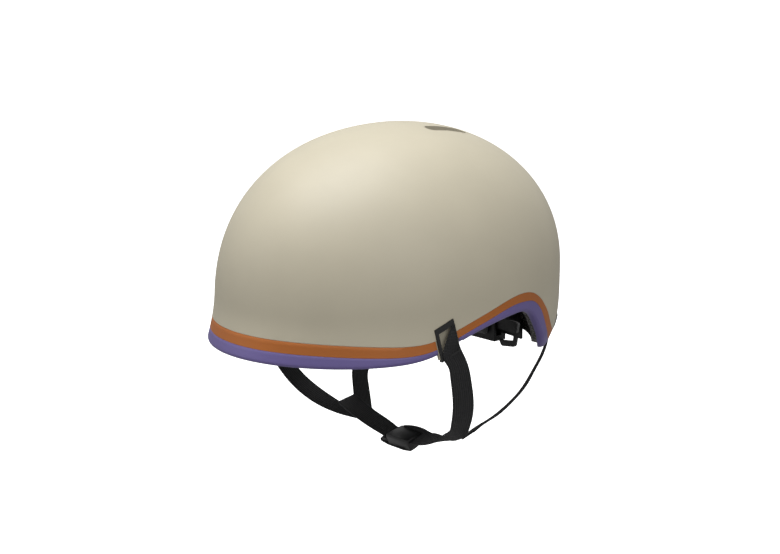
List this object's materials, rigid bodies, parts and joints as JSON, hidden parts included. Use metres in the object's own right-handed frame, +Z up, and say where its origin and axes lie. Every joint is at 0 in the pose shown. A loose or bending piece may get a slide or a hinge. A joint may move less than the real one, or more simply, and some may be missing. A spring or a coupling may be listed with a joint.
{
  "type": "cycling helmet",
  "caption": "Smooth rounded cycling helmet with two bands round its rim, foam liner, strap harness with magnetic chin buckle, and a dial-adjusted fit cradle.",
  "frame": {"origin": "middle of the head opening, at the level of the lowest edge of the front rim", "axes": "front of the helmet faces -Y, the wearer's left is +X, +Z is up"},
  "size_m": [0.2222, 0.2879, 0.2493],
  "materials": {
    "shell": "matte beige in-mould shell, fine orange peel",
    "stripe": "matte orange-brown shell band",
    "trim": "satin muted purple rim trim",
    "foam": "dark grey expanded bead foam",
    "black_plastic": "black moulded nylon, light grain",
    "webbing": "black woven polyester webbing",
    "pad": "black brushed knit over foam",
    "metal": "zinc plated steel",
    "duct": "beige moulded vent duct"
  },
  "bodies": {
    "helmet": {"outer_shell": "shell", "orange_stripe_band": "stripe", "rim_trim": "trim", "eps_liner": "foam", "vent_duct_left": "duct", "vent_duct_right": "duct", "front_strap_guide_left": "black_plastic", "front_strap_guide_right": "black_plastic", "rear_strap_guide_left": "black_plastic", "rear_strap_guide_right": "black_plastic", "front_strap_end_left": "webbing", "front_strap_end_right": "webbing", "strap_anchor_discs": "black_plastic", "temple_pin_left": "black_plastic", "temple_pin_right": "black_plastic", "brow_pad": "pad", "crown_pad": "pad", "side_pad_left": "pad", "side_pad_right": "pad", "rear_pad": "pad"},
    "cradle": {"cradle_yoke": "black_plastic", "dial_housing": "black_plastic", "housing_screws": "metal", "nape_pad": "pad"},
    "dial": {"dial_knob": "black_plastic", "drive_pinion": "black_plastic", "detent_spring": "metal"},
    "left_fit_band": {"fit_band_left": "black_plastic"},
    "right_fit_band": {"fit_band_right": "black_plastic"},
    "left_harness": {"front_strap_left": "webbing", "rear_strap_left": "webbing", "strap_junction_left": "webbing", "chin_strap_left": "webbing", "buckle_base": "black_plastic", "base_magnet": "metal"},
    "right_harness": {"front_strap_right": "webbing", "rear_strap_right": "webbing", "strap_junction_right": "webbing", "chin_strap_right": "webbing", "buckle_top": "black_plastic", "top_magnet": "metal"}
  },
  "joints": [
    {"name": "left_strap_swing", "type": "hinge", "parent": "helmet", "child": "left_harness", "pos_m": [0.107, -0.04, 0.008], "axis": [1, 0, 0], "range_deg": [-3, 25], "deforming": ["rear_strap_left"]},
    {"name": "right_strap_swing", "type": "hinge", "parent": "helmet", "child": "right_harness", "pos_m": [-0.107, -0.04, 0.008], "axis": [1, 0, 0], "range_deg": [-3, 25], "deforming": ["rear_strap_right"]},
    {"name": "cradle_tilt", "type": "hinge", "parent": "helmet", "child": "cradle", "pos_m": [0, -0.055, 0.02], "axis": [1, 0, 0], "range_deg": [-4, 5]},
    {"name": "dial_turn", "type": "hinge", "parent": "cradle", "child": "dial", "pos_m": [0, 0.096, -0.011], "axis": [0, -1, 0], "range_deg": [0, 100]},
    {"name": "left_fit_slide", "type": "slide", "parent": "cradle", "child": "left_fit_band", "axis": [-1, 0, 0], "range_m": [0, 0.0088]},
    {"name": "right_fit_slide", "type": "slide", "parent": "cradle", "child": "right_fit_band", "axis": [1, 0, 0], "range_m": [0, 0.0088]}
  ],
  "couplings": [
    {"joint": "left_fit_slide", "follows": "dial_turn", "m_per_rad": 0.005},
    {"joint": "right_fit_slide", "follows": "dial_turn", "m_per_rad": 0.005}
  ]
}
